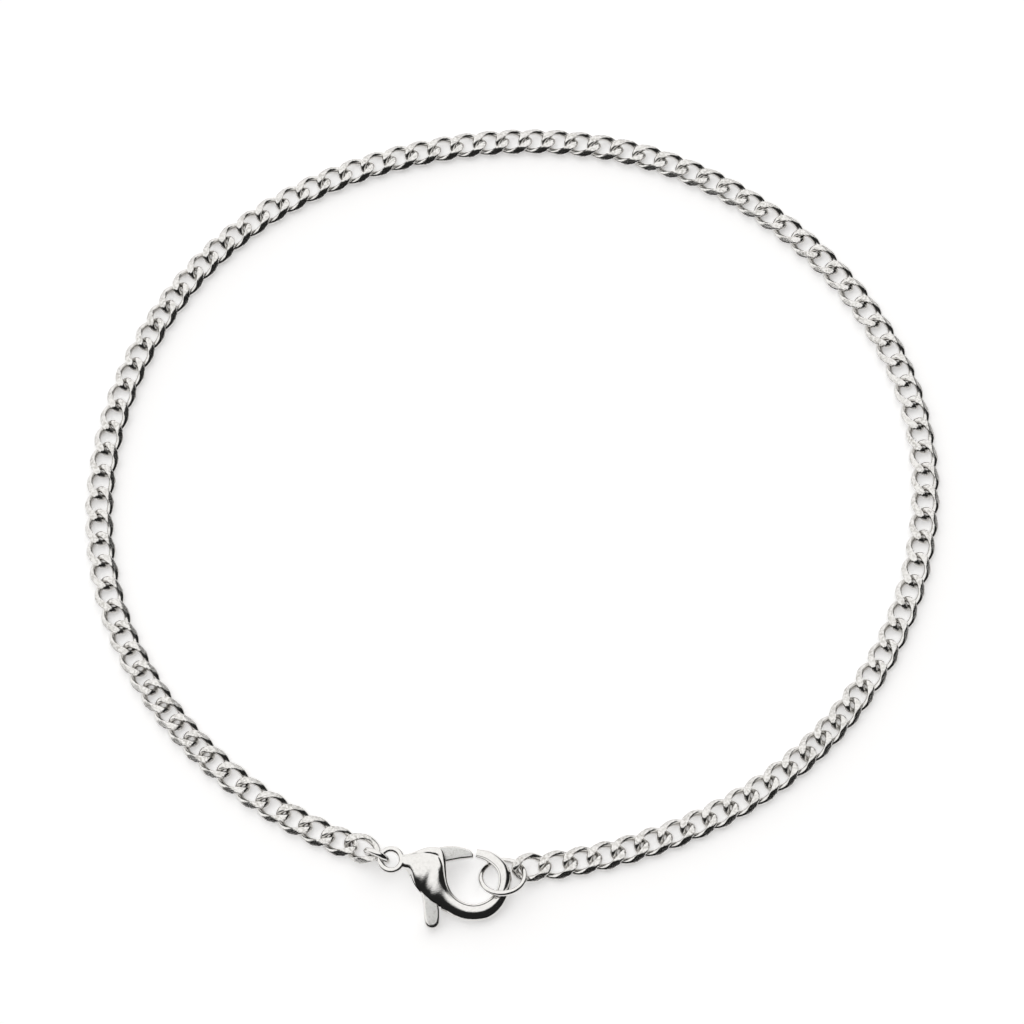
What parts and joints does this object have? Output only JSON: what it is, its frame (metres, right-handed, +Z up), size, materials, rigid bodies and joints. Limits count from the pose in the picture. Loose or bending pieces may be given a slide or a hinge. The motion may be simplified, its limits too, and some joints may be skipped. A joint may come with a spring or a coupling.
{
  "type": "curb link necklace with a lobster clasp",
  "caption": "Steel curb chain necklace lying as a closed loop, fastened by a lobster claw clasp through a round jump ring, with a small ring between clasp and chain.",
  "frame": {"origin": "on the surface that the necklace lies on, under the middle of its box", "axes": "+Z up off the surface, +X to the right and +Y away from the clasp, which lies at the front"},
  "size_m": [0.1518, 0.1528, 0.0053],
  "materials": {
    "chain_steel": "bright steel, ground facets faintly mottled, rims polished",
    "clasp_steel": "highly polished cast steel",
    "trigger_steel": "satin flat faces with polished chamfers",
    "ring_steel": "polished round wire"
  },
  "bodies": {
    "necklace": {"chain_right": "chain_steel", "chain_left": "chain_steel", "clasp_body": "clasp_steel", "pivot_pin": "ring_steel", "jump_ring": "ring_steel", "end_ring": "ring_steel"},
    "trigger": {"clasp_trigger": "trigger_steel"}
  },
  "joints": [
    {"name": "trigger_pivot", "type": "hinge", "parent": "necklace", "child": "trigger", "pos_m": [-0.01407, -0.06596, 0.00244], "axis": [-0.0419, 0.1044, -0.9936], "range_deg": [0, 22], "stiffness_Nm_per_rad": 0.005, "springref_deg": -5.73}
  ]
}
